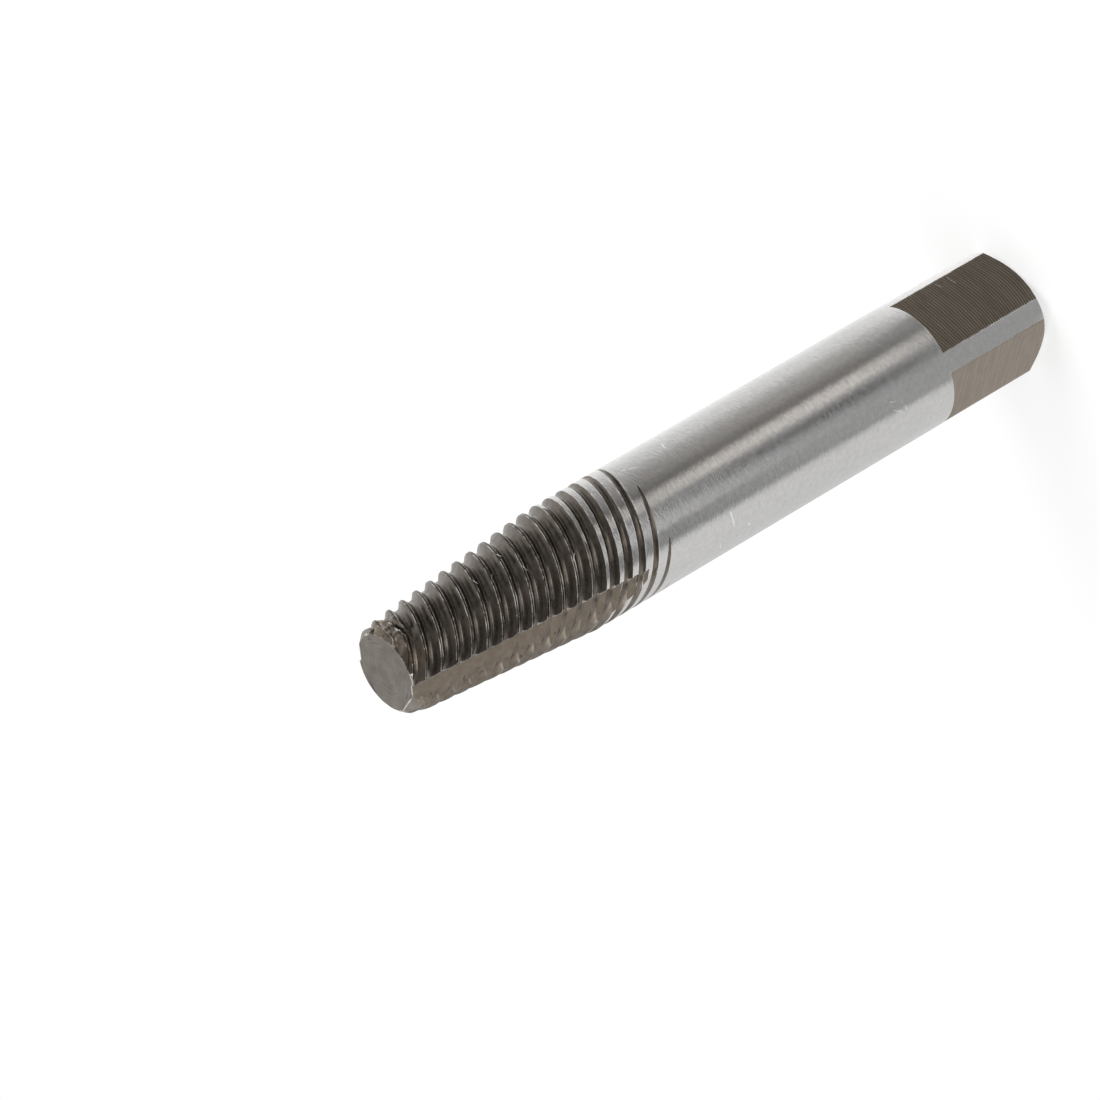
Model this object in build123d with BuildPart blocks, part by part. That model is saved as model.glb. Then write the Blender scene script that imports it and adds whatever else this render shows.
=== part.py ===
from build123d import *
from math import radians, tan
import os

# Screw extractor: a square drive, a ground shank and a tapered left-hand thread with two cutting flats.
# Millimetres and degrees. The drive end stands on Z = 0 and the tip points up.

# Whole tool
overall_length = 69.0
shank_diameter = 11.0

# Square drive
drive_across_flats = 9.0
drive_length = 12.0
drive_chamfer_height = 1.0
drive_chamfer_depth = 1.5

# Taper, measured over the thread's crests
tip_diameter = 7.8
taper_half_angle = 5.0
tip_chamfer = 0.6

# Left-hand thread with several starts. Widths and pitch are measured along the axis.
thread_starts = 7
thread_pitch = 1.474
thread_depth = 0.63
thread_root_width = 0.47
thread_root_hollow = 0.07   # the middle of the root lies this much below its corners
thread_clocking = -15.6     # angle from +X at which the middle of one groove crosses the tip face

# Cutting flats: a floor and, along one side of it, the rake face that the thread's edges end on
flat_count = 2
flat_facing = -71.2         # direction that the first floor faces, from +X
floor_at_tip = 3.05         # from the axis to the floor, at the tip face
floor_corner = 0.13         # from the floor's middle line to the foot of the rake face, at the tip face
floor_rise = 0.1065         # the floor leaves the axis by this much for each millimetre of length
rake_lean = 41.0            # the rake face leans back this far from the way that the floor faces

# Cutters and forms reach this far out of the metal.
overrun = 0.2

# Values that follow
shank_radius = shank_diameter / 2
tip_radius = tip_diameter / 2
taper_slope = tan(radians(taper_half_angle))
taper_start = overall_length - (shank_radius - tip_radius) / taper_slope
thread_lead = thread_starts * thread_pitch
thread_bottom = taper_start - (thread_depth + overrun) / taper_slope
thread_top = overall_length + overrun
corner_span = thread_root_width / 2
crest_span = thread_pitch / 2


def thread_edge(start, along, height):
    """Helical edge of one groove: `along` the axis from its middle, `height` above the bottom of its root."""
    helix = Edge.make_helix(
        thread_lead,
        thread_top - thread_bottom,
        shank_radius + overrun + height,
        center=(0, 0, thread_bottom),
        angle=-taper_half_angle,
        lefthand=True,
    )
    turns_below_tip = (overall_length - thread_bottom + along) / thread_lead
    return helix.rotate(Axis.Z, thread_clocking + 360 * (turns_below_tip + start / thread_starts))


# Thread form: helical walls from edge to edge right round, closed by a flat face at each end.
# A groove's profile starts on the sharp crest that it shares with the groove before.
groove_profile = [
    (-crest_span, thread_depth),
    (-corner_span, thread_root_hollow),
    (0, 0),
    (corner_span, thread_root_hollow),
]
edges = [thread_edge(start, along, height) for start in range(thread_starts) for along, height in groove_profile]
walls = [Face.make_surface_from_curves(edge, following) for edge, following in zip(edges, edges[1:] + edges[:1])]
ends = [Face(Wire.make_polygon([edge @ end for edge in edges])) for end in (0, 1)]

with BuildPart() as thread_form:
    add(Solid(Shell(walls + ends)))
    # Below the thread the form is plain and clears the shank, so that the grooves run out on the shank.
    Cylinder(shank_radius + overrun / 2, thread_bottom, align=(Align.CENTER, Align.CENTER, Align.MIN))

# Flat cutter: the notch's section, drawn past the tip and fed out of the metal towards the shank.
feed = Vector(floor_rise, 0, -1)
feed_length = overrun + (shank_radius + overrun - floor_at_tip) / floor_rise
foot_of_rake = (floor_at_tip - overrun * floor_rise, floor_corner)

with BuildPart() as flat_cutter:
    with BuildSketch(Plane.XY.offset(overall_length + overrun)):
        with BuildLine():
            floor = Line(foot_of_rake, (foot_of_rake[0], -shank_diameter))
            rake = PolarLine(foot_of_rake, 2 * shank_diameter, angle=rake_lean)
            Polyline(floor @ 1, (3 * shank_diameter, -shank_diameter), rake @ 1)
        make_face()
    extrude(amount=feed_length * feed.length, dir=feed)

with BuildPart() as extractor:
    # Turned blank. It has no taper of its own: that comes from the crests of the thread form.
    with BuildSketch(Plane.XZ):
        with BuildLine():
            Polyline(
                (0, 0),
                (shank_radius - drive_chamfer_depth, 0),
                (shank_radius, drive_chamfer_height),
                (shank_radius, overall_length - tip_chamfer - shank_radius + tip_radius),
                (tip_radius - tip_chamfer, overall_length),
                (0, overall_length),
                close=True,
            )
        make_face()
    revolve(axis=Axis.Z)

    # Thread
    add(thread_form.part, mode=Mode.INTERSECT)

    # Cutting flats
    with PolarLocations(0, flat_count, start_angle=flat_facing):
        add(flat_cutter.part, mode=Mode.SUBTRACT)

    # Square drive: what lies outside the square is milled away up to the shoulder.
    with BuildSketch():
        Circle(shank_diameter)
        Rectangle(drive_across_flats, drive_across_flats, mode=Mode.SUBTRACT)
    extrude(amount=drive_length, mode=Mode.SUBTRACT)

extractor.part.label = "extractor"
os.makedirs("parts", exist_ok=True)
export_step(extractor.part, "parts/extractor.step")

print(f"extractor: valid {extractor.part.is_valid}, volume {extractor.part.volume:.1f} mm3")
print(f"thread runs from {taper_start - thread_depth / taper_slope:.1f} to {overall_length:.1f} mm")
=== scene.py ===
# %% [markdown]
# A screw extractor in Blender.
# The real tool is one bar of hardened steel. A square drive goes into a tap wrench, a ground shank follows,
# and the other end is a tapered left-hand thread that bites into a drilled hole and turns a broken screw out.
# The measured solid comes first. It is the fixed frame that the picture is built around.

from math import acos, atan2, copysign, cos, degrees, pi, radians, sin, sqrt, tan

import bmesh
import bpy
from mathutils import Matrix, Vector, noise


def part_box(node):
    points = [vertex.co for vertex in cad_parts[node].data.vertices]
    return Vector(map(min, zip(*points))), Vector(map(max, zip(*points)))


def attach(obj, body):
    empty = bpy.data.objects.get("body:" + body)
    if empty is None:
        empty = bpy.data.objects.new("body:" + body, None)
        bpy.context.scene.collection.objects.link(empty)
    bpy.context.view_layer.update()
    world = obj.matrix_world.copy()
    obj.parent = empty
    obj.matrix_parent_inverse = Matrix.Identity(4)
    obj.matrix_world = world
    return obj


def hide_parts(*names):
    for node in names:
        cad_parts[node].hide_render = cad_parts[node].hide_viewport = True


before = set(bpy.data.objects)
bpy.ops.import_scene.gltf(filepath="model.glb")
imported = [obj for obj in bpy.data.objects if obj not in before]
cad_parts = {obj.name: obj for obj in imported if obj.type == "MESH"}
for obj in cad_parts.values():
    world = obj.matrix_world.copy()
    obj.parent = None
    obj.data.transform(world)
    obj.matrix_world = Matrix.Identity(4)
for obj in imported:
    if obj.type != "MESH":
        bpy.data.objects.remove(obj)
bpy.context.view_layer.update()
low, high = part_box("extractor")
mm = 0.001
width, thickness, height = (high - low) / mm
print(f"The solid is {width:.1f} x {thickness:.1f} x {height:.1f} mm")

# %% [markdown]
# The tool stands on its square end, and the photograph looks down on it from about 31 degrees with a long
# lens. The camera is also rolled, so that the tip points to the lower left. Blender rolls a camera about its
# own line of sight, so the three turns are written one after the other.

# %% Camera
lens_width = 36.0
camera_lens = 179.13
nearest_seen = 0.01           # metres
farthest_seen = 50.0
camera_aim = Vector((0.92, 1.56, 50.63)) * mm
camera_distance = 433.64 * mm
camera_bearing = -30.533      # degrees from +X
camera_height_angle = 30.846
camera_roll = 120.257


def turned_to(bearing, height_angle):
    """The turn of a camera or a lamp that looks in from a bearing and from an angle above the floor."""
    sideways = Matrix.Rotation(radians(bearing + 90), 4, "Z")
    return sideways @ Matrix.Rotation(radians(90 - height_angle), 4, "X")


camera = bpy.data.objects.new("camera", bpy.data.cameras.new("camera"))
bpy.context.scene.collection.objects.link(camera)
camera.data.sensor_width = lens_width
camera.data.lens = camera_lens
camera.data.clip_start = nearest_seen
camera.data.clip_end = farthest_seen
turn = turned_to(camera_bearing, camera_height_angle) @ Matrix.Rotation(radians(-camera_roll), 4, "Z")
camera.matrix_world = Matrix.Translation(camera_aim) @ turn @ Matrix.Translation((0, 0, camera_distance))
bpy.context.scene.camera = camera
bpy.context.scene.view_settings.view_transform = "Standard"
print(f"The camera stands {camera.matrix_world.translation.length / mm:.0f} mm from the foot of the tool")

# %% [markdown]
# Shader maths reads best as ordinary arithmetic. A small class holds one socket of a node and turns
# `1 - mask * 2` into Math nodes. A second class holds a material and makes every other node with one method.

# %% Arithmetic on sockets
class Signal:
    """The value on one output socket."""

    def __init__(self, finish, socket):
        self.finish = finish
        self.socket = socket

    def maths(self, operation, *others, clamp=False):
        settings = {"operation": operation, "use_clamp": clamp}
        return self.finish.make("ShaderNodeMath", settings, dict(enumerate((self, *others))))

    def __add__(self, other):
        return self.maths("ADD", other)

    def __sub__(self, other):
        return self.maths("SUBTRACT", other)

    def __mul__(self, other):
        return self.maths("MULTIPLY", other)

    def __rsub__(self, other):
        return self.finish.number(other).maths("SUBTRACT", self)

    __radd__ = __add__
    __rmul__ = __mul__

    def size(self):
        return self.maths("ABSOLUTE")

    def ramp(self, start, end, low=0.0, high=1.0):
        """Goes from low to high, smoothly, as the value goes from start to end."""
        settings = {"interpolation_type": "SMOOTHSTEP"}
        return self.finish.make("ShaderNodeMapRange", settings, {0: self, 1: start, 2: end, 3: low, 4: high})


class Finish:
    """A material, or the world, whose nodes are added one by one."""

    def __init__(self, owner):
        owner.use_nodes = True
        self.tree = owner.node_tree
        self.tree.nodes.clear()

    def make(self, kind, settings=None, sockets=None, output=0):
        """Adds a node: its settings first, then the values and links of its sockets."""
        node = self.tree.nodes.new(kind)
        for name, value in (settings or {}).items():
            setattr(node, name, value)
        for name, value in (sockets or {}).items():
            if isinstance(value, Signal):
                self.tree.links.new(value.socket, node.inputs[name])
            else:
                node.inputs[name].default_value = value
        return Signal(self, node.outputs[output]) if node.outputs else node

    def number(self, value):
        signal = self.make("ShaderNodeValue")
        signal.socket.default_value = value
        return signal

    def mix(self, amount, first, second):
        return self.make("ShaderNodeMix", {"data_type": "RGBA"}, {0: amount, 6: first, 7: second}, 2)

    def place(self, scale):
        """Object coordinates in millimetres, stretched by scale along each axis."""
        where = self.make("ShaderNodeTexCoord", output="Object")
        stretch = [value / mm for value in scale]
        return self.make("ShaderNodeVectorMath", {"operation": "MULTIPLY"}, {0: where, 1: stretch})

    def along(self, direction):
        """How far a point lies along a direction, in millimetres."""
        settings = {"operation": "DOT_PRODUCT"}
        return self.make("ShaderNodeVectorMath", settings, {0: self.place((1, 1, 1)), 1: direction}, "Value")

    def noise(self, scale, detail=3.0, roughness=0.55):
        """Noise with this many bumps for each millimetre: one number, or one for each axis."""
        place = self.place(scale if isinstance(scale, tuple) else (scale, scale, scale))
        sockets = {"Vector": place, "Scale": 1.0, "Detail": detail, "Roughness": roughness}
        return self.make("ShaderNodeTexNoise", None, sockets)

    def attribute(self, name):
        return self.make("ShaderNodeAttribute", {"attribute_name": name}, output="Fac")


def grey(value, warmth=0.0):
    """A colour whose red is a little above its blue where warmth is above zero."""
    return (value * (1 + warmth), value, value * (1 - warmth), 1.0)


print("Shader arithmetic is ready")

# %% [markdown]
# The tool was photographed on white, and a white world gives an even light from all round. Light Path tells
# what kind of ray arrives, so that the camera and the metal see pure white while the light that falls on a
# dull surface stays at a plain level. Turning up the lamps instead would bleach the tool.

# %% White surround
def seen_directly(finish):
    """1 for what the camera, a mirror or glass sees, and 0 for light that falls on a dull surface."""
    path = finish.make("ShaderNodeLightPath")
    rays = ("Is Camera Ray", "Is Glossy Ray", "Is Transmission Ray")
    seen = [Signal(finish, path.socket.node.outputs[name]) for name in rays]
    return (seen[0] + seen[1]).maths("ADD", seen[2], clamp=True)


fallen_light = 0.7
world = bpy.data.worlds.new("white_surround")
bpy.context.scene.world = world
surround = Finish(world)
strength = seen_directly(surround) * (1 - fallen_light) + fallen_light
shade = surround.make("ShaderNodeBackground", None, {"Color": grey(1.0), "Strength": strength})
surround.make("ShaderNodeOutputWorld", None, {"Surface": shade})
print("The surround is white")

# %% [markdown]
# The floor is one big square of dull pale material with a glow added to it. The glow lifts it to white for
# the camera, and its own grey colour still takes the tool's shadow, which is why it isn't a glow alone.

# %% Floor
floor_half = 3.0              # metres
floor_colour = 0.45
floor_glow = 0.35             # for light that falls on a surface
floor_seen_glow = 0.62        # for the camera and the metal, with the floor's own colour a little over white


def stage_sheet(name, sheet, surface):
    """Turns a bmesh into a sheet on the stage that isn't part of the tool. surface makes its shader."""
    mesh = bpy.data.meshes.new(name)
    sheet.to_mesh(mesh)
    sheet.free()
    material = bpy.data.materials.new(name)
    finish = Finish(material)
    finish.make("ShaderNodeOutputMaterial", None, {"Surface": surface(finish)})
    mesh.materials.append(material)
    piece = bpy.data.objects.new(name, mesh)
    bpy.context.scene.collection.objects.link(piece)
    return piece


def floor_surface(finish):
    own = finish.make("ShaderNodeBsdfDiffuse", None, {"Color": grey(floor_colour)})
    strength = seen_directly(finish) * (floor_seen_glow - floor_glow) + floor_glow
    glow = finish.make("ShaderNodeEmission", None, {"Color": grey(1.0), "Strength": strength})
    return finish.make("ShaderNodeAddShader", None, {0: own, 1: glow})


floor_sheet = bmesh.new()
bmesh.ops.create_grid(floor_sheet, x_segments=1, y_segments=1, size=floor_half)
stage_sheet("floor", floor_sheet, floor_surface)
print(f"The floor is {2 * floor_half:.0f} m square")

# %% [markdown]
# Polished metal shows what stands round it. The bands along the shank come from grey cards that lie on the
# floor in rings round the tool, as a photographer would lay them. Dark flags round and above the tool keep
# the thread's flanks dark, and a bright opening at one side and a strip overhead put soft lights on them.
# A card is a short line that is spun round the axis. Its shade runs smoothly from one bearing to the next, so
# it is stored on the vertices. Only the metal sees the cards: the camera doesn't, and they throw no shadow.

# %% Cards that the metal reflects
camera_side = -30.25          # bearing of the camera from the tool's axis, in degrees from +X
card_step = 3.0               # degrees
slack = 1.0                   # degrees, for vertices that a spin leaves a hair before its start


def shade_at(bearing, stops):
    """Straight lines between the stops, each a bearing, a shade and a warmth."""
    for (start, *first), (end, *last) in zip(stops, stops[1:]):
        if bearing <= end:
            share = (bearing - start) / (end - start)
            return [here + (there - here) * share for here, there in zip(first, last)]
    return stops[-1][1:]


def card_surface(finish):
    colour = finish.make("ShaderNodeAttribute", {"attribute_name": "card_colour"}, output="Color")
    return finish.make("ShaderNodeEmission", None, {"Color": colour, "Strength": 1.0})


def lay_card(name, near, far, stops):
    """A ring of card round the axis. near and far are its edges, each a distance and a height in mm."""
    card = bmesh.new()
    colour_layer = card.verts.layers.float_color.new("card_colour")
    start, end = stops[0][0], stops[-1][0]
    turn = Matrix.Rotation(radians(camera_side + start), 3, "Z")
    places = [Vector((distance * mm, 0, height * mm)) for distance, height in (near, far)]
    ends = [card.verts.new(turn @ place) for place in places]
    line = ends + [card.edges.new(ends)]
    steps = round((end - start) / card_step)
    bmesh.ops.spin(card, geom=line, cent=(0, 0, 0), axis=(0, 0, 1), angle=radians(end - start), steps=steps)
    for vert in card.verts:
        past_start = degrees(atan2(vert.co.y, vert.co.x)) - camera_side - start
        bearing = (past_start + slack) % 360 - slack + start
        vert[colour_layer] = grey(*shade_at(bearing, stops))
    piece = stage_sheet(name, card, card_surface)
    piece.visible_camera = False
    piece.visible_diffuse = False
    piece.visible_shadow = False


print("A card can be laid")

# %% Shades of the cards
# Each stop is a bearing from the camera's side, a shade and a warmth.
heel_stops = [(-120, 0.9, 0), (-27, 0.9, 0), (-21, 0.5, 0)]
foot_stops = [
    (-170, 0.9, 0), (-60, 0.9, 0), (-51, 0.5, 0), (-9, 0.5, 0), (18, 0.36, 0), (69, 0.36, 0),
    (78, 1.4, 0), (105, 1.4, 0), (132, 1.35, 0), (171, 1.8, 0), (190, 0.9, 0),
]
shank_stops = [
    (-170, 0.80, 0), (-120, 0.88, 0), (-72, 0.90, 0), (-57, 0.86, 0), (-54, 0.42, 0), (-48, 0.42, 0),
    (-45, 0.56, 0), (-24, 0.52, 0), (-12, 0.41, 0), (-3, 0.08, 0), (3, 0.08, 0), (12, 0.48, 0.02),
    (18, 1.0, 0.05), (30, 1.0, 0.05), (36, 0.55, 0.06), (39, 0.20, 0.06), (48, 0.28, 0.05),
    (60, 0.42, 0.04), (75, 0.54, 0.03), (87, 0.74, 0.02), (96, 1.0, 0), (120, 1.1, 0), (156, 1.3, 0),
    (190, 1.3, 0),
]
shoulder_join = 75            # the shoulder's card is like the foot's up to here, and like the shank's beyond
shoulder_stops = [stop for stop in foot_stops if stop[0] < shoulder_join]
shoulder_stops += [stop for stop in shank_stops if stop[0] > shoulder_join]
flag_start = [(-57, 0.8, 0), (-48, 0.12, 0)]
flag_end = [(90, 0.12, 0), (120, 0.8, 0)]
flag_stops = flag_start + flag_end
thread_stops = flag_start + [(-30, 0.12, 0), (-24, 1.2, 0), (3, 1.2, 0), (9, 0.12, 0)] + flag_end
opening_stops = flag_start + [(-12, 0.12, 0), (-6, 1.8, 0), (21, 1.8, 0), (27, 0.12, 0)] + flag_end
plain_stops = [(0, 0.15, 0), (360, 0.15, 0)]
glow_stops = [(-75, 0.15, 0), (-54, 0.55, 0), (15, 0.55, 0), (36, 0.15, 0), (285, 0.15, 0)]
print(f"The shank's card has {len(shank_stops)} shades")

# %% Lay the cards
# Each row is a name, the distance and height of the near and the far edge in millimetres, and the shades.
cards = [
    ("heel_card", (4, 0.4), (6.4, 0.4), heel_stops),
    ("foot_card", (4, 0.2), (20, 0.2), foot_stops),
    ("shoulder_card", (20, 0.2), (25, 0.2), shoulder_stops),
    ("shank_card", (25, 0.2), (92, 0.2), shank_stops),
    ("thread_card", (92, 0.2), (320, 0.2), thread_stops),
    ("side_flag", (320, 0.2), (322, 60), flag_stops),
    ("side_opening", (322, 60), (326, 330), opening_stops),
    ("side_top", (326, 330), (330, 450), flag_stops),
    ("overhead_flag", (1, 450), (85, 450), plain_stops),
    ("overhead_glow", (85, 450), (130, 450), glow_stops),
    ("overhead_edge", (130, 450), (330, 450), plain_stops),
]
for card in cards:
    lay_card(*card)
print(f"{len(cards)} cards and flags lie, stand and hang round the tool")

# %% [markdown]
# Two soft boxes add the light that models the tool's round shape. Area lamps throw soft shadows, where point
# lamps would throw hard ones.

# %% Lamps
def lamp(name, bearing, height_angle, distance, size, power):
    """A square soft box that faces the middle of the tool. Its bearing is from the camera's side."""
    light = bpy.data.lights.new(name, "AREA")
    light.size = size
    light.energy = power
    box = bpy.data.objects.new(name, light)
    bpy.context.scene.collection.objects.link(box)
    middle = Matrix.Translation((0, 0, high.z / 2))
    turn = turned_to(camera_side + bearing, height_angle)
    box.matrix_world = middle @ turn @ Matrix.Translation((0, 0, distance))


lamp("key_box", bearing=70, height_angle=40, distance=0.6, size=0.30, power=1.2)
lamp("fill_box", bearing=-80, height_angle=30, distance=0.7, size=0.40, power=0.8)
print("Two soft boxes are lit")

# %% [markdown]
# Seven grooves wind to the left side by side, so each one climbs seven pitches in a turn. Most of these
# measures are the solid's. The crests are the scene's own, because the solid's are sharp and the real ones
# are two lips of metal, and so are the small steps along the foot of the rake face.

# %% Sizes of the tool
length = high.z
shank_radius = high.x
drive_length = 12.0 * mm
half_across_flats = 4.5 * mm
drive_end_radius = 4.0 * mm
drive_chamfer_height = 1.0 * mm
drive_chamfer_slope = 1.5

tip_radius = 3.9 * mm
tip_chamfer = 0.6 * mm
taper_slope = tan(radians(5.0))
starts = 7
pitch = 1.474 * mm
lead = starts * pitch
depth = 0.63 * mm
crest_width = 0.22 * mm
root_half = 0.235 * mm
root_hollow = 0.07 * mm
flank_slope = (depth - root_hollow) / ((pitch - crest_width) / 2 - root_half)
clocking = -15.6              # degrees from +X at which a groove's middle crosses the tip face

flat_facings = (108.8, 288.8)
floor_at_tip = 3.05 * mm
floor_corner = 0.13 * mm
corner_saw = 0.15 * mm        # height of the steps along the foot of the rake face
floor_rise = 0.1065
rake_lean = radians(41.0)

hair = 0.0001 * mm            # closer than this is touching
level = 0.001 * mm            # heights this close are one height
print(f"The thread climbs {lead / mm:.2f} mm in a turn")

# %% Shape of a groove and a flat
def around(radius, bearing, z):
    """The place at a radius, a bearing in degrees and a height."""
    return radius * cos(radians(bearing)), radius * sin(radians(bearing)), z


def crest_cone(z):
    """Radius of the taper over the crests."""
    return tip_radius + (length - z) * taper_slope


def profile_height(distance):
    """Height above the bottom of the root at a distance from the groove's middle."""
    distance = abs(distance)
    if distance < root_half:
        return root_hollow * (distance / root_half) ** 2
    return min(depth, root_hollow + (distance - root_half) * flank_slope)


def half_width(cut):
    """Half of the groove's width where it is cut this deep."""
    cut = min(depth, max(0.0, cut))
    if cut < root_hollow:
        return root_half * sqrt(cut / root_hollow)
    return root_half + (cut - root_hollow) / flank_slope


def floor_distance(z):
    """Distance from the axis to the floor of a cutting flat."""
    return floor_at_tip + (length - z) * floor_rise


print(f"A groove is {2 * half_width(depth) / mm:.2f} mm wide where it is deepest")

# %% [markdown]
# The thread is a sheet of squares that is wrapped round the tool. Cutting it from a solid would leave long
# thin triangles that can't carry wear. On the sheet the rows run along the helix, so that crests, flanks and
# roots keep sharp, clean lines, and the columns bend to follow the edges of the two cutting flats.
# The thread was rolled, and each crest is two lips of metal that met over a fine seam.

# %% Rows of the thread
flank_stations = (0.2, 0.38, 0.62, 0.9, 1)        # shares of the groove's half width
groove_stations = (*(-station for station in reversed(flank_stations)), 0, *flank_stations)
seam_stations = (-1, 0, 1)
seam_half = 0.05 * mm
rows_per_pitch = len(groove_stations) + len(seam_stations)
seam_row = rows_per_pitch - 2
least_half_width = 0.02 * mm
width_rounds = 3              # the groove's width and the place of its edge depend on each other
first_middle = length + lead * clocking / 360     # height of a groove's middle at bearing 0
pitches_below = 18
pitches_above = 8


def on_row(row, bearing):
    """Height and radius of the thread on one row of the sheet, at a bearing in degrees."""
    number, station = divmod(row, rows_per_pitch)
    middle = first_middle + (number - pitches_below) * pitch - lead * bearing / 360
    if station < len(groove_stations):
        half = 0.0
        for _ in range(width_rounds):
            edge = middle + copysign(half, groove_stations[station])
            half = half_width(shank_radius - crest_cone(edge) + depth)
        offset = groove_stations[station] * max(least_half_width, half)
    else:
        offset = pitch / 2 + seam_stations[station - len(groove_stations)] * seam_half
    z = middle + offset
    radius = crest_cone(z) - depth + profile_height(offset)
    return z, min(shank_radius, radius)


def is_land(row):
    """Rows on the edges of a groove and between two grooves."""
    station = row % rows_per_pitch
    return station == 0 or station >= len(groove_stations) - 1


print(f"Each pitch has {rows_per_pitch} rows")

# %% Flats on the sheet
open_reach = 1.4              # radians past a floor's middle that its plane is followed
rake_margin = 0.05            # radians short of the direction in which the rake face runs on for ever
no_flat = 1.0                 # metres, so it is never the smallest radius


def corner_of(row):
    """Distance of the rake face's foot from the floor's middle line. Each crest leaves a small step in it."""
    return floor_corner + corner_saw * ((row % rows_per_pitch) / rows_per_pitch - 0.5)


def rake_radius(lean_from_facing, z, corner):
    """Radius of the rake face at an angle from the way that its flat faces."""
    slope = tan(rake_lean)
    return (floor_distance(z) * slope - corner) / (cos(lean_from_facing) * slope - sin(lean_from_facing))


def flat_radius(z, bearing, corner):
    """Radius at which a cutting flat ends the metal, or no_flat away from the flats."""
    for facing in flat_facings:
        lean = radians((bearing - facing + 180) % 360 - 180)
        foot = atan2(corner, floor_distance(z))
        if -open_reach < lean <= foot:
            return floor_distance(z) / cos(lean)
        if foot < lean < rake_lean - rake_margin:
            return rake_radius(lean, z, corner)
    return no_flat


print(f"{len(flat_facings)} flats are cut")

# %% Columns of the thread
column_stops = (0, 60, 78, 84, 156, 174, 180, 224)        # columns on the edges of the flats
columns = column_stops[-1]
rows = (pitches_below + pitches_above) * rows_per_pitch
edge_rounds = 8               # a row's height and the bearing of an edge on it depend on each other
least_side = 5.0              # degrees that a flat keeps on the sheet where it has run out of the metal
least_rake = 2.0


def flat_edges(row, facing):
    """Bearings at which a row meets a flat's open side, the foot of its rake face, and its cutting edge."""
    side = edge = foot = facing
    corner = corner_of(row)
    for _ in range(edge_rounds):
        z, radius = on_row(row, side)
        side = facing - max(least_side, degrees(acos(min(1.0, floor_distance(z) / radius))))
        z, radius = on_row(row, foot)
        foot = facing + degrees(atan2(corner, floor_distance(z)))
        z, radius = on_row(row, edge)
        near = floor_distance(z)
        along = near * cos(rake_lean) + corner * sin(rake_lean)
        reach = along ** 2 - near ** 2 - corner ** 2 + radius ** 2
        step = sqrt(reach) - along if reach > along ** 2 else 0.0
        out = atan2(corner + step * sin(rake_lean), near + step * cos(rake_lean))
        edge = max(foot + least_rake, facing + degrees(out))
    return side, foot, edge


def bearings_of_row(row):
    """Bearing of every column on a row, spread evenly between the edges of the flats."""
    marks = [0.0, *(mark for facing in flat_facings for mark in flat_edges(row, facing)), 360.0]
    bearings = []
    for start, end, first, last in zip(marks, marks[1:], column_stops, column_stops[1:]):
        bearings += [start + (end - start) * step / (last - first) for step in range(last - first)]
    return bearings + [360.0]


print(f"The sheet has {columns} columns and {rows} rows")

# %% [markdown]
# A rolled and much used thread isn't perfect. The lips wander and rise and fall, the flanks are a little
# wavy, and at the tip the first turns are torn and smeared. These faults are moves of the sheet's own
# vertices, by seeded noise in the tool's own space, so they are the same each run and show from every side.

# %% Noise and slopes for the faults
seed_shift = (17.3, 5.1, 9.7)         # how far a seed moves the noise along each axis


def rise(value, start, end):
    """Goes from 0 to 1, smoothly, as the value goes from start to end."""
    share = min(1.0, max(0.0, (value - start) / (end - start)))
    return share * share * (3 - 2 * share)


def wobble(where, per_mm, seed, upward=1.0):
    """Smooth noise from -1 to 1 with this many bumps for each millimetre, and more of them upward."""
    x, y, z = where
    shift = Vector([seed * step for step in seed_shift])
    return noise.noise(Vector((x, y, z * upward)) * (per_mm / mm) + shift)


def waves(where, *parts):
    """Sum of several wobbles, each with its height in millimetres before the rest."""
    return sum(height * wobble(where, *rest) for height, *rest in parts)


print(f"On the tip's middle the noise of seed 1 is {wobble((0, 0, length), 0.3, 1):.2f}")

# %% Where the thread is torn or dragged
torn_bearing = 30.0           # degrees from +X
torn_half_angle = 44.0
torn_core_angle = 22.0
torn_start = 66.5 * mm
torn_full = 67.6 * mm
drag_start, drag_full, drag_thin, drag_end = 0, 12, 38, 65        # degrees past the middle of a flat


def torn_share(z, bearing):
    """1 where the first turns are torn, and 0 where they are whole."""
    apart = abs((bearing - torn_bearing + 180) % 360 - 180)
    return rise(z, torn_start, torn_full) * (1 - rise(apart, torn_core_angle, torn_half_angle))


def past_flat(bearing):
    """Degrees from the middle of the nearest cutting flat, counted on its open side."""
    return min((facing - bearing) % 360 for facing in flat_facings)


def dragged_share(bearing):
    """1 on the open side of a cutting flat, where the grinding wheel has dragged metal into the grooves."""
    past = past_flat(bearing)
    return rise(past, drag_start, drag_full) * (1 - rise(past, drag_thin, drag_end))


print(f"The torn turns start {(length - torn_start) / mm:.1f} mm below the tip face")

# %% Faults of the thread
settled = 0.2 * mm            # a groove this deep has its full faults
lip_wear_and_highlight = -0.55               # beside the seam there is less wear and painted highlight than the sharp shape tells
dragged_fill = 0.30           # share of a groove's depth that dragged metal fills
seam_depth = 0.055            # mm
lip_drop = 0.012              # mm
smear_depth = 0.24 * mm       # smeared metal lies this far below the crests
smear_share = 0.65
shaded_hollow = (0.10, 0.22)   # depths in mm at which a torn hollow starts to get painted shade, and is quite dark
highlighted_hump = (0.03, 0.20)    # heights in mm at which a torn hump starts to get a painted highlight, and where it is brightest
hump_highlight = 0.40

# Waves: height in mm, bumps for each millimetre, seed, and how many times closer they are upward
seam_wave = (0.025, 0.8, 1)
lip_height_wave = (0.035, 0.7)        # the seed is the lip's own
lip_path_wave = (0.030, 0.9)
wall_waves = ((0.022, 1.1, 6), (0.010, 3.0, 7))
torn_waves = ((0.40, 0.9, 8, 2.4), (0.10, 2.6, 9))
torn_shift_wave = (0.12, 1.6, 10)


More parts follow.
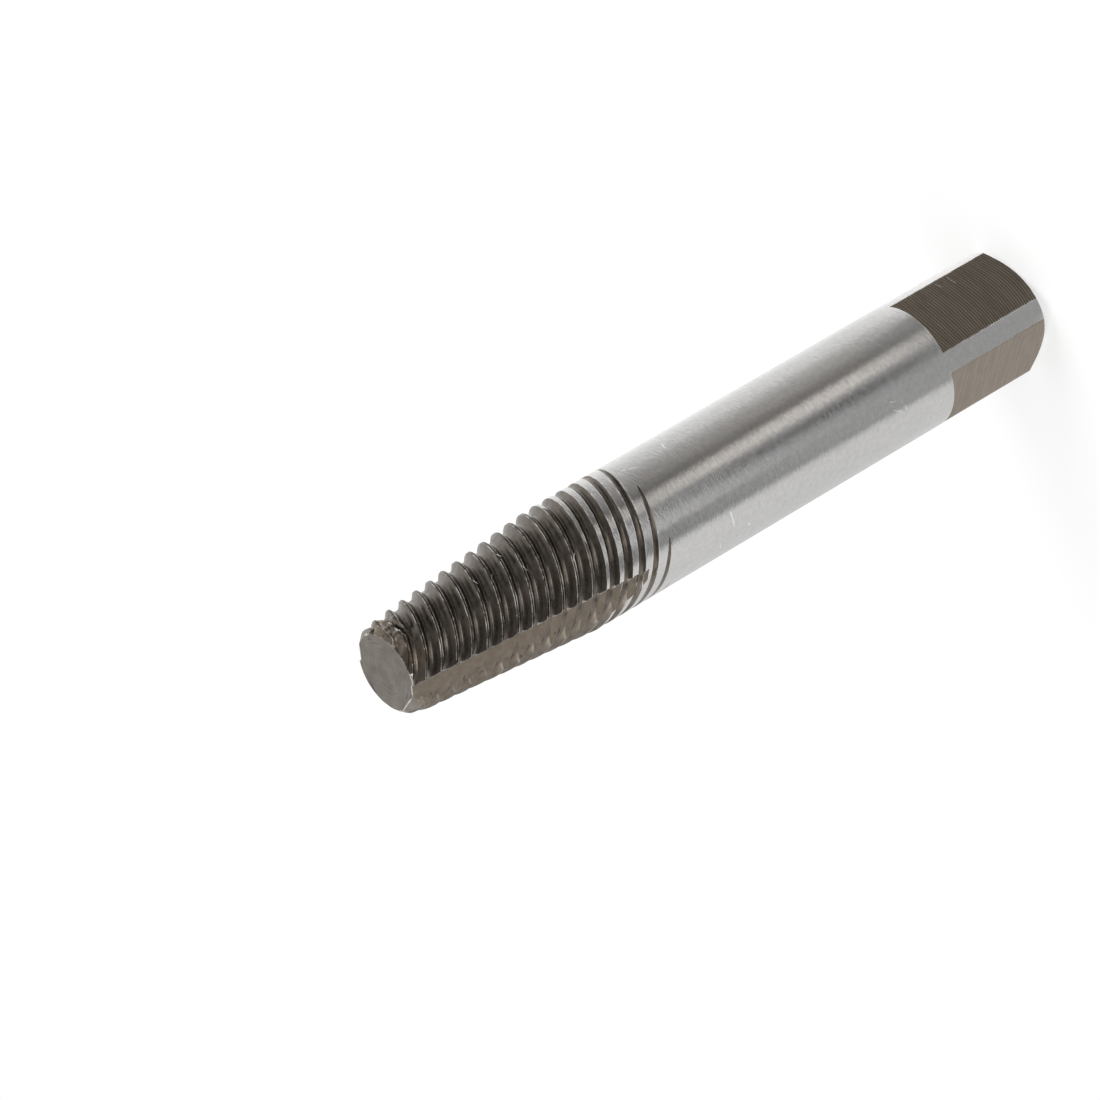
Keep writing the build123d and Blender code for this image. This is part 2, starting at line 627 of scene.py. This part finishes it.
def faulty(station, z, radius, bearing):
    """Moves one point of the perfect thread to where it is on a rolled and used one.

    Gives its height, its radius, its dirt and painted shade, and the change in its wear and painted
    highlight.
    """
    threaded = rise(shank_radius - crest_cone(z), 0.0, settled)
    where = around(radius, bearing, z)
    dirt_and_shade = 0.0
    wear_and_highlight_change = lip_wear_and_highlight if station in (seam_row - 1, seam_row + 1) else 0.0
    radius += dragged_fill * dragged_share(bearing) * max(0.0, crest_cone(z) - radius)
    if station == seam_row:
        radius -= threaded * (seam_depth + waves(where, seam_wave)) * mm
        # The seam is painted dark: painted shade in its crease.
        dirt_and_shade = threaded
    elif is_land(station):
        lip = 2 if station >= len(groove_stations) else 3
        radius += threaded * (waves(where, (*lip_height_wave, lip)) - lip_drop) * mm
        z += threaded * waves(where, (*lip_path_wave, lip + 2)) * mm
    else:
        radius += threaded * waves(where, *wall_waves) * mm
    torn = torn_share(z, bearing)
    if torn > 0:
        lump = waves(where, *torn_waves)
        radius += torn * (smear_share * (crest_cone(z) - smear_depth - radius) + lump * mm)
        z += torn * waves(where, torn_shift_wave) * mm
        # Torn hollows get painted shade, and torn humps a painted highlight.
        dirt_and_shade = max(dirt_and_shade * (1 - torn), torn * rise(-lump, *shaded_hollow))
        wear_and_highlight_change += torn * hump_highlight * rise(lump, *highlighted_hump)
    return z, radius, dirt_and_shade, wear_and_highlight_change


print(f"The seam is about {seam_depth} mm deep")

# %% [markdown]
# A flat grid becomes the thread: each point goes to the bearing, height and radius of its column and row,
# and is then moved by the faults. Dirt and painted shade, and the shifts of wear and painted highlight, are
# stored on the vertices, where the finishes read them.

# %% Wrap the sheet
GROUND, THREAD, FLAT, TIP, MILLED = range(5)      # the order in which the finishes are made
touch = 0.003 * mm            # a point this close to a surface lies on it
sheet_weld = 0.0005 * mm
body = bmesh.new()
# These layers carry painted marks: wear with painted highlight on edges, dirt with painted shade, and shifts
# of the painted highlight.
edge_wear_and_highlight = body.verts.layers.float.new("edge_wear_and_highlight")
dirt_and_shade_layer = body.verts.layers.float.new("dirt_and_shade")
wear_and_highlight_layer = body.verts.layers.float.new("wear_and_highlight_shift")
bmesh.ops.create_grid(body, x_segments=columns, y_segments=rows, size=0.5)
row_bearings = [bearings_of_row(row) for row in range(rows + 1)]
on_flat, on_ground = set(), set()
for vert in body.verts:
    column = round((vert.co.x + 0.5) * columns)
    row = round((vert.co.y + 0.5) * rows)
    bearing = row_bearings[row][column]
    z, radius = on_row(row, bearing)
    cut_radius = flat_radius(z, bearing, corner_of(row))
    if radius > cut_radius - touch:
        on_flat.add(vert)
    if radius > shank_radius - touch or crest_cone(z) > shank_radius and is_land(row):
        on_ground.add(vert)
    z, radius, dirt_and_shade, wear_and_highlight_change = faulty(row % rows_per_pitch, z, radius, bearing % 360)
    radius = min(radius, cut_radius, shank_radius)
    vert[dirt_and_shade_layer] = dirt_and_shade if vert not in on_flat else 0.0
    vert[wear_and_highlight_layer] = wear_and_highlight_change
    vert.co = around(radius, bearing, z)
for face in body.faces:
    corners = set(face.verts)
    face.material_index = FLAT if corners <= on_flat else GROUND if corners <= on_ground else THREAD
bmesh.ops.remove_doubles(body, verts=body.verts, dist=sheet_weld)
print(f"The wrapped sheet has {len(body.faces)} faces")

# %% [markdown]
# The sheet is longer than the thread, and a plane trims it at both ends. Three more cuts give it rings across
# the chamfer at the tip, and the points outside the chamfer's cone are drawn in to it, a little unevenly.

# %% Trim the sheet
join_height = 43.2 * mm       # the thread ends on the shank here
chamfer_rings = (1.0, 0.67, 0.33)     # shares of the chamfer's height
chamfer_waver = 0.04 * mm


def slice_body(height, **clear):
    geometry = body.verts[:] + body.edges[:] + body.faces[:]
    plane = {"plane_co": (0, 0, height), "plane_no": (0, 0, 1)}
    bmesh.ops.bisect_plane(body, geom=geometry, dist=hair, **plane, **clear)


slice_body(length, clear_outer=True)
slice_body(join_height, clear_inner=True)
for share in chamfer_rings:
    slice_body(length - share * tip_chamfer)
for vert in body.verts:
    radius = vert.co.xy.length
    waver = chamfer_waver * wobble((*vert.co.xy, 0.0), 0.8, 12)
    limit = tip_radius - tip_chamfer + (length - vert.co.z) + waver
    if radius > limit:
        vert.co.x *= limit / radius
        vert.co.y *= limit / radius
print(f"The thread has {len(body.faces)} faces")

# %% [markdown]
# The shank and the square drive start as one profile that is spun round the axis. The square is then pressed
# in: each vertex of the drive moves towards the axis until it lies on the nearest flat. Fine rows carry the
# marks of the milling cutter, which are shallow valleys across each flat, and each valley bites a little into
# the round corner. A boolean cut would make the same square, but it would leave no rows for the marks.

# %% Spin the shank and the drive
mill_lines = 42
spin_steps = 180
shoulder_step = 0.01 * mm     # the ring above the square stands this high until the shoulder is levelled
shoulder_band = 0.12 * mm     # a narrow ring above the shoulder keeps its edge crisp
shank_rings = (20 * mm, 30 * mm, 40 * mm)
join_gap = 0.4 * mm           # a strip of faces closes this gap to the thread
milled_length = drive_length - drive_chamfer_height
half_lines = [milled_length * line / (2 * mill_lines) for line in range(1, 2 * mill_lines + 1)]
profile = [(drive_end_radius, 0.0), (shank_radius, drive_chamfer_height)]
profile += [(shank_radius, drive_chamfer_height + height) for height in half_lines]
above = [drive_length + shoulder_step, drive_length + shoulder_band, *shank_rings, join_height - join_gap]
profile += [(shank_radius, height) for height in above]
chain = [body.verts.new((radius, 0, height)) for radius, height in profile]
chain += [body.edges.new(pair) for pair in zip(chain, chain[1:])]
whole_turn = {"cent": (0, 0, 0), "axis": (0, 0, 1), "angle": 2 * pi, "steps": spin_steps, "use_merge": True}
bmesh.ops.spin(body, geom=chain, **whole_turn)
print(f"With shank and drive the body has {len(body.faces)} faces")

# %% Press the square in
mill_depth = 0.022 * mm
mill_bow = 0.10 * mm          # the ends of a mark rise this far above its middle, halfway up the square
mill_bite = 0.8               # degrees that a valley reaches into the round corner
fine_share = 0.3              # the marks of the finer pair of flats are this much as deep
fine_pair_darkening = 0.52              # that pair is painted nearly evenly darker
fine_valley_dirt_and_shade = 0.10
half_step = 180 / spin_steps
corner_bearing = degrees(acos(half_across_flats / shank_radius))


def square_radius(bearing):
    """Radius of the square at a bearing in radians."""
    return half_across_flats / max(abs(cos(bearing)), abs(sin(bearing)))


def chamfer_height(radius):
    return (radius - drive_end_radius) / drive_chamfer_slope


square_verts = set()
drive_verts = [vert for vert in body.verts if vert.co.z < drive_length + shoulder_step / 2]
for vert in drive_verts:
    bearing = atan2(vert.co.y, vert.co.x)
    z = vert.co.z
    share = (z - drive_chamfer_height) / milled_length
    valley = round(share * 2 * mill_lines) % 2 == 1 and 0 < share < 1
    quarter = degrees(bearing) % 90
    deep_marks = abs(cos(bearing)) > abs(sin(bearing))        # one pair of flats was milled more coarsely
    at_corner = False
    for corner, inward in ((corner_bearing, 1), (90 - corner_bearing, -1)):
        if abs(quarter - corner) < half_step:
            bearing += radians(corner - quarter + (inward * mill_bite if valley else 0.0))
            at_corner = True
    radius = shank_radius if at_corner else min(shank_radius, square_radius(bearing))
    on_square = at_corner or radius < shank_radius - hair
    if z < drive_chamfer_height / 2:
        radius = drive_end_radius
    elif z < drive_chamfer_height + hair:
        z = chamfer_height(radius)
    elif on_square and z < drive_length - shoulder_step:
        low_z = chamfer_height(radius)
        across = radius * sin((bearing + pi / 4) % (pi / 2) - pi / 4) / half_across_flats
        z = low_z + (drive_length - low_z) * share + mill_bow * across ** 2 * sin(pi * share)
        if valley and not at_corner:
            radius -= mill_depth * (1.0 if deep_marks else fine_share) * radius / half_across_flats
    if on_square:
        square_verts.add(vert)
        # The valleys are painted dark, partly as dirt and partly as painted shade, and the finer pair is
        # painted evenly darker.
        vert[dirt_and_shade_layer] = float(valley) if deep_marks else fine_pair_darkening + fine_valley_dirt_and_shade * valley
    vert.co = (radius * cos(bearing), radius * sin(bearing), z)
for vert in body.verts:
    if abs(vert.co.z - drive_length - shoulder_step) < hair:
        vert.co.z = drive_length
for face in body.faces:
    if set(face.verts) <= square_verts:
        face.material_index = MILLED
print(f"{len(square_verts)} vertices lie on the square")

# %% [markdown]
# Where the flat, the tip face and the thread meet, a small chip has broken off. The vertices outside a
# slanting plane are pressed inward onto it before the end faces close the body.

# %% Chip at the tip
chip_bearing = -106.0         # degrees from +X
chip_radius = 2.95 * mm       # where the chip starts on the tip face
chip_tilt = radians(40)
chip_waver = 0.03 * mm
chip_out = Vector((cos(radians(chip_bearing)), sin(radians(chip_bearing)), 0))
chipped = set()
for vert in body.verts:
    beyond = vert.co.dot(chip_out) - chip_radius - (length - vert.co.z) * tan(chip_tilt)
    if beyond > 0:
        vert.co -= chip_out * (beyond + chip_waver * wobble(vert.co, 2.0, 13))
        chipped.add(vert)
for face in body.faces:
    if set(face.verts) <= chipped:
        face.material_index = TIP
print(f"{len(chipped)} vertices lie on the chip")

# %% [markdown]
# Rolling leaves thin curls of metal on some crests. Each one is a small closed sliver that lies along the
# crest and bends away from it, pointed at both ends. Made in the body's own mesh, it shares its finish.

# %% Curls on the crests
# A curl has a bearing from +X, a height in millimetres, and the way round that it points.
curls = [
    (1.5, 60.1, 1), (-0.8, 58.9, -1), (-14.0, 56.4, 1),
    (12.0, 57.2, 1), (-25.0, 52.6, -1), (140.0, 58.0, 1),
]
# Its path goes along the crest, down from it and out from it, in millimetres.
curl_path = [
    (0.55, 0.0, -0.02), (0.30, -0.02, 0.02), (0.08, -0.09, 0.03),
    (-0.08, -0.20, 0.02), (-0.14, -0.33, -0.05),
]
curl_sides = 5
curl_thickness = 0.032 * mm   # from its middle to its side
# Curls are painted bright: partly wear, partly a painted highlight.
curl_wear_and_highlight = 0.6


def curl_point(bearing, near_z, along, down, out):
    """A point near the crest that passes closest to a height at a bearing."""
    here = bearing + degrees(along * mm / shank_radius)
    number = round((near_z * mm - first_middle + lead * bearing / 360) / pitch - 0.5)
    z = first_middle - lead * here / 360 + (number + 0.5) * pitch + down * mm
    return Vector(around(crest_cone(z) + out * mm, here, z))


def lay_sliver(points, thickness):
    """A closed tube through the points, pointed at both ends."""
    tube = [[body.verts.new(points[0])]]
    for before, here, after in zip(points, points[1:], points[2:]):
        side = (after - before).cross(Vector((here.x, here.y, 0))).normalized()
        up = side.cross(after - before).normalized()
        angles = [2 * pi * step / curl_sides for step in range(curl_sides)]
        corners = [here + (side * cos(angle) + up * sin(angle)) * thickness for angle in angles]
        tube.append([body.verts.new(corner) for corner in corners])
    tube.append([body.verts.new(points[-1])])
    for low_ring, high_ring in zip(tube, tube[1:]):
        for step in range(curl_sides):
            first, second = low_ring[step % len(low_ring)], low_ring[(step + 1) % len(low_ring)]
            third, fourth = high_ring[(step + 1) % len(high_ring)], high_ring[step % len(high_ring)]
            face = body.faces.new(dict.fromkeys((first, second, third, fourth)))
            face.material_index = THREAD
    for vert in sum(tube, []):
        vert[wear_and_highlight_layer] = curl_wear_and_highlight


for bearing, near_z, side in curls:
    points = [curl_point(bearing, near_z, along * side, down, out) for along, down, out in curl_path]
    lay_sliver(points, curl_thickness)
print(f"{len(curls)} curls lie on the crests")

# %% [markdown]
# The thread and the shank are still apart, and both ends are open. Bridging the two rings makes one skin, and
# a face across each end closes it. A closed skin has an inside and an outside, so its normals can be found.

# %% Close the body
body_weld = 0.0002 * mm
edge_band = 0.10 * mm         # worn and painted with a highlight round an end face


def open_loop(height):
    """Open edges that lie at a height."""
    return [edge for edge in body.edges if edge.is_boundary
            and all(abs(vert.co.z - height) < level for vert in edge.verts)]


bmesh.ops.bridge_loops(body, edges=open_loop(join_height) + open_loop(join_height - join_gap))
bmesh.ops.remove_doubles(body, verts=body.verts, dist=body_weld)
tip_face = bmesh.ops.contextual_create(body, geom=open_loop(length))["faces"]
drive_face = bmesh.ops.contextual_create(body, geom=open_loop(0.0))["faces"]
for face in tip_face + drive_face:
    face.material_index = TIP
    bmesh.ops.inset_individual(body, faces=[face], thickness=edge_band)
bmesh.ops.dissolve_degenerate(body, dist=hair, edges=body.edges)
bmesh.ops.recalc_face_normals(body, faces=body.faces)
open_edges = [edge for edge in body.edges if not edge.is_manifold]
print(f"The closed body has {len(body.faces)} faces and {len(open_edges)} open edges")

# %% [markdown]
# Handling rubs a tool bright where its edges stand out, and sharp edges also catch thin highlights. Both are
# painted into the colour as one bright mark, partly wear and partly painted highlight. The angle between two
# faces tells how sharp an edge is, so the sharpest turn at each vertex gives the mark there. It is kept as a
# number on the vertices, and the finishes break it up with noise, so that no edge is evenly bright.

# %% Bright edges
wear_and_highlight_from = radians(22)
wear_and_highlight_full = radians(45)
dull_zone = (18, 70)          # degrees past a flat's middle, on its open side
dull_zone_wear_and_highlight = 0.5
crest_wear_and_highlight = 0.8
tip_wear_and_highlight = 0.6
flat_end_wear_and_highlight = 1.7           # over 1, because the band of wear and painted highlight there is so narrow
flat_end_reach = 0.02 * mm


def beside_flat_end(place):
    """True on the edge between the tip face and a cutting flat."""
    outs = [place.x * cos(radians(facing)) + place.y * sin(radians(facing)) for facing in flat_facings]
    return max(outs) > floor_at_tip - flat_end_reach


def bearing_of(vert):
    return degrees(atan2(vert.co.y, vert.co.x))


# The bright mark on each edge is partly wear and partly a painted highlight.
for vert in body.verts:
    turns = [edge.calc_face_angle_signed(0.0) for edge in vert.link_edges if edge.is_manifold]
    wear_and_highlight = rise(max(turns, default=0.0), wear_and_highlight_from, wear_and_highlight_full)
    if vert.co.z > length - level:
        wear_and_highlight *= flat_end_wear_and_highlight if beside_flat_end(vert.co) else 1.0 if vert in chipped else tip_wear_and_highlight
    elif vert.co.z > join_height:
        wear_and_highlight *= dull_zone_wear_and_highlight if dull_zone[0] < past_flat(bearing_of(vert)) < dull_zone[1] else crest_wear_and_highlight
    change = vert[wear_and_highlight_layer]
    vert[edge_wear_and_highlight] = wear_and_highlight * (1 + min(0.0, change)) + max(0.0, change)
print(f"{sum(vert[edge_wear_and_highlight] > 0.5 for vert in body.verts)} vertices are rubbed bright")

# %% Sharp and smooth edges
sharp_from = radians(35)
torn_from = 0.1               # torn metal is drawn smooth, because its folds are rounded
for face in body.faces:
    face.smooth = True
for edge in body.edges:
    torn = all(vert.co.z < length - level and torn_share(vert.co.z, bearing_of(vert)) > torn_from
               for vert in edge.verts)
    one_finish = len({face.material_index for face in edge.link_faces}) == 1
    edge.smooth = torn or one_finish and edge.calc_face_angle(0.0) < sharp_from
mesh = bpy.data.meshes.new("extractor_body")
body.to_mesh(mesh)
body.free()
extractor = bpy.data.objects.new("extractor_body", mesh)
bpy.context.scene.collection.objects.link(extractor)
triangles = sum(len(face.vertices) - 2 for face in mesh.polygons)
print(f"The body has {triangles} triangles")

# %% [markdown]
# Each surface has its own finish, but all of them are bare steel, so one function makes them all. It takes a
# colour, a range of roughness and fine marks, and adds what they share. A rubbed edge is painted brighter,
# partly as wear and partly as a painted highlight, and is partly dull, so that it catches light from every
# side. Even roughness looks like plastic, so the roughness varies a little from patch to patch.

# %% Bare steel
# The colour of wear and painted highlight on the edges.
wear_and_highlight_steel = grey(0.68, 0.03)
# Painted shade for the crest seams and the torn hollows.
seam_and_hollow_shade = grey(0.015, 0.10)
patches = (0.3, 0.7)          # noise below and above these is quite one thing or quite the other
grain_turn = 0.25             # a quarter turn lays the grain round the tool


def metal(name, colour, roughness, marks, mark_strength, mark_depth, anisotropy=0.0):
    """A bare metal finish. colour and marks add nodes, and roughness is a scale of patches and two ends."""
    material = bpy.data.materials.new(name)
    finish = Finish(material)
    bump = {"Strength": mark_strength, "Distance": mark_depth, "Height": marks(finish)}
    normal = finish.make("ShaderNodeBump", None, bump)
    uneven = finish.noise(1.3).ramp(0.40, 0.70, 0.0, 0.40)
    # Edges are painted brighter and less metallic: partly wear, partly a painted highlight.
    wear_and_highlight_share = (finish.attribute("edge_wear_and_highlight") - uneven).ramp(0.25, 0.85)
    dulled = finish.noise((1.0, 1.0, 1.6), 2.0).ramp(0.45, 0.68, 0.10, 0.62)
    patch_scale, smoothest, roughest = roughness
    sockets = {
        "Metallic": 1 - wear_and_highlight_share * dulled,
        "Base Color": finish.mix(wear_and_highlight_share, colour(finish), wear_and_highlight_steel),
        "Roughness": finish.noise(patch_scale).ramp(*patches, smoothest, roughest),
        "Anisotropic": anisotropy,
        "Anisotropic Rotation": grain_turn,
        "Normal": normal,
    }
    shade = finish.make("ShaderNodeBsdfPrincipled", None, sockets)
    finish.make("ShaderNodeOutputMaterial", None, {"Surface": shade})
    mesh.materials.append(material)


def dirty_and_shaded(finish, base, dark=seam_and_hollow_shade):
    """The base colour, darker where dirt sits and where shade is painted into seams, hollows and valleys."""
    return finish.mix(finish.attribute("dirt_and_shade").ramp(0.2, 0.9), base, dark)


def mottled(finish, scale, tones, detail=3.0):
    """Two colours that run into each other in patches."""
    return finish.mix(finish.noise(scale, detail).ramp(*patches), *tones)


print("Bare steel is ready")

# %% [markdown]
# Use leaves short bright scratches on the shank. A scratch is worked out on Object coordinates, as a thin bar
# that lies at an angle on the steel, and is broken up with noise. An image of scratches would need the shank
# to be unwrapped, and would blur when the camera comes near.

# %% Scratches
scratch_steel = grey(0.86)


def scratch(finish, bearing, height, half_length, half_width, lean):
    """1 on a short straight scratch on the shank, seen square on."""
    out = Vector((cos(radians(bearing)), sin(radians(bearing)), 0))
    round_it = Vector((-out.y, out.x, 0))
    up = Vector((0, 0, 1))
    along = round_it * cos(radians(lean)) + up * sin(radians(lean))
    across = round_it * -sin(radians(lean)) + up * cos(radians(lean))
    near_length = (finish.along(along) - height * along.z).size().ramp(half_length, half_length * 0.5)
    near_width = (finish.along(across) - height * across.z).size().ramp(half_width, half_width * 0.3)
    return near_length * near_width * finish.along(out).ramp(0.0, 1.0)


def scratched(finish, base, places):
    """The base colour with bright scratches on it."""
    mark, *others = [scratch(finish, *place) for place in places]
    for other in others:
        mark = mark.maths("MAXIMUM", other)
    return finish.mix(mark * finish.noise(6.0).ramp(0.3, 0.6), base, scratch_steel)


print("A scratch can be drawn")

# %% [markdown]
# The shank was ground round, and the wheel left rings too fine to see one by one. What does show is that
# they stretch every reflection along the tool. Anisotropy does that, and a faint bump breaks the streaks up.

# %% Ground shank
ground_tones = (grey(0.545, 0.008), grey(0.59, 0.012))
speck_steel = grey(0.42)
scratches = [                 # bearing, height, half length and half width in mm, lean in degrees
    (-68.0, 37.1, 1.1, 0.10, 8), (-84.0, 35.3, 0.3, 0.12, 30), (-90.0, 38.4, 0.5, 0.07, 15),
    (23.0, 38.6, 0.5, 0.10, -20), (19.0, 42.6, 0.9, 0.06, 60), (-60.0, 18.3, 0.7, 0.08, 60),
    (-58.5, 17.5, 0.6, 0.07, 20), (-50.0, 18.6, 0.4, 0.08, 75), (140.0, 30.0, 1.2, 0.07, 35),
    (215.0, 24.0, 0.9, 0.08, 10),
]


def ground_colour(finish):
    base = mottled(finish, 2.5, ground_tones, 5.0)
    speck = finish.noise(5.0, 2.0).ramp(0.62, 0.74, 0.0, 0.6)
    return scratched(finish, finish.mix(speck, base, speck_steel), scratches)


def ground_rings(finish):
    """Fine rings from the grinding wheel, and a faint unevenness round the shank."""
    return finish.noise((1.5, 1.5, 9.0), 2.0) + finish.noise((0.5, 0.5, 1.6), 3.0) * 0.4


metal(
    "ground_steel",
    ground_colour,
    roughness=((1.2, 1.2, 6), 0.20, 0.27),
    marks=ground_rings,
    mark_strength=1.0,
    mark_depth=0.019 * mm,
    anisotropy=0.88,
)
print(f"The ground shank has {len(scratches)} scratches")

# %% [markdown]
# Rolling and hardening leave the thread brown-grey and half dull. The torn turns at the tip are a little
# lighter, and the seams along the crests and the torn hollows are painted nearly black, as shade in their
# creases.

# %% Thread
thread_tones = (grey(0.105, 0.17), grey(0.150, 0.15))
smeared_steel = grey(0.20, 0.20)
smeared_from, smeared_full = 66.8, 68.2           # heights in millimetres


def thread_colour(finish):
    base = mottled(finish, 1.2, thread_tones)
    smeared = finish.along((0, 0, 1)).ramp(smeared_from, smeared_full, 0.0, 0.8)
    # The seams and torn hollows are painted dark: painted shade in their creases.
    return dirty_and_shaded(finish, finish.mix(smeared, base, smeared_steel))


metal(
    "thread_steel",
    thread_colour,
    roughness=(1.5, 0.26, 0.36),
    marks=lambda finish: finish.noise((0.7, 0.7, 2.5), 1.0),
    mark_strength=0.5,
    mark_depth=0.02 * mm,
)
print("The thread is dark")

# %% [markdown]
# The cutting flats were ground roughly after the thread was rolled, and they are duller than it. Near their
# open side the grooves come close to the surface, and small dark pits are left there.

# %% Cutting flats
flat_tones = (grey(0.142, 0.20), grey(0.178, 0.20))
pit_steel = grey(0.05, 0.20)
pits_from, pits_full = 0.8, 1.3       # millimetres from a flat's middle line


def flat_colour(finish):
    facing = radians(flat_facings[0])
    from_middle = finish.along((-sin(facing), cos(facing), 0)).size()
    pits = finish.noise(2.4, 2.0).ramp(0.62, 0.70, 0.0, 0.75) * from_middle.ramp(pits_from, pits_full)
    base = mottled(finish, 1.5, flat_tones, 5.0)
    return dirty_and_shaded(finish, finish.mix(pits, base, pit_steel))


metal(
    "flat_steel",
    flat_colour,
    roughness=(2.0, 0.40, 0.52),
    marks=lambda finish: finish.noise((3, 3, 6), 5.0),
    mark_strength=0.35,
    mark_depth=0.02 * mm,
)
print("The cutting flats are dull")

# %% [markdown]
# A facing tool left rings on the tip face, and dirt sits in some of them. Noise in one dimension, read along
# the distance from the axis, gives rings of uneven width, and a little wandering makes them less perfect.
# The drive end and the chip have the same finish.

# %% Tip face
tip_tones = (grey(0.175, 0.12), grey(0.24, 0.12))
tip_dirt = grey(0.09, 0.12)
ring_wander = 1.2


def face_rings(finish, per_mm):
    """Noise along the distance from the axis, which wanders a little."""
    out = finish.make("ShaderNodeVectorMath", {"operation": "LENGTH"}, {0: finish.place((1, 1, 0))}, "Value")
    wander = finish.noise(0.7) * ring_wander
    sockets = {"W": out * per_mm + wander, "Scale": 1.0, "Detail": 3.0}
    return finish.make("ShaderNodeTexNoise", {"noise_dimensions": "1D"}, sockets)


def tip_colour(finish):
    base = mottled(finish, 1.0, tip_tones, 5.0)
    arcs = face_rings(finish, 5.0).ramp(0.50, 0.66) * finish.noise(0.6, 3.0).ramp(0.48, 0.62, 0.0, 0.7)
    specks = finish.noise(4.0, 2.0).ramp(0.64, 0.72, 0.0, 0.5)
    return dirty_and_shaded(finish, finish.mix(arcs.maths("MAXIMUM", specks), base, tip_dirt))


metal(
    "tip_steel",
    tip_colour,
    roughness=(2.0, 0.38, 0.50),
    marks=lambda finish: face_rings(finish, 3.5) + finish.noise(4.0, 4.0) * 0.6,
    mark_strength=0.9,
    mark_depth=0.05 * mm,
)
print("The tip face has its rings")

# %% [markdown]
# The milled square is a warmer grey. The valleys between the cutter's marks are already stored as dirt and
# painted shade, so the colour only has to follow them. Some lines are darker than others, as they are on the
# real tool.

# %% Milled square
ridge_tones = (grey(0.27, 0.19), grey(0.31, 0.19))
valley_dirt_and_shade = grey(0.13, 0.22)
dark_line_steel = grey(0.11, 0.22)
square_scratches = [(28.7, 5.54, 0.55, 0.07, 10), (30.2, 6.9, 0.35, 0.05, 25)]


def milled_colour(finish):
    ridges = mottled(finish, (0.8, 0.8, 1.2), ridge_tones)
    uneven = finish.noise((0.25, 0.25, 3.8), 1.0).ramp(0.42, 0.66, 0.0, 0.32)
    base = finish.mix(uneven, dirty_and_shaded(finish, ridges, valley_dirt_and_shade), dark_line_steel)
    return scratched(finish, base, square_scratches)


metal(
    "milled_steel",
    milled_colour,
    roughness=(2.0, 0.22, 0.28),
    marks=lambda finish: finish.noise((0.8, 0.8, 14), 3.0),
    mark_strength=0.2,
    mark_depth=0.01 * mm,
)
print(f"{len(mesh.materials)} finishes are on the body")

# %% [markdown]
# The body stands for the measured solid: it rides on the tool's only body, and the solid is hidden behind it.

# %% Hand over
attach(extractor, "root")
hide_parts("extractor")
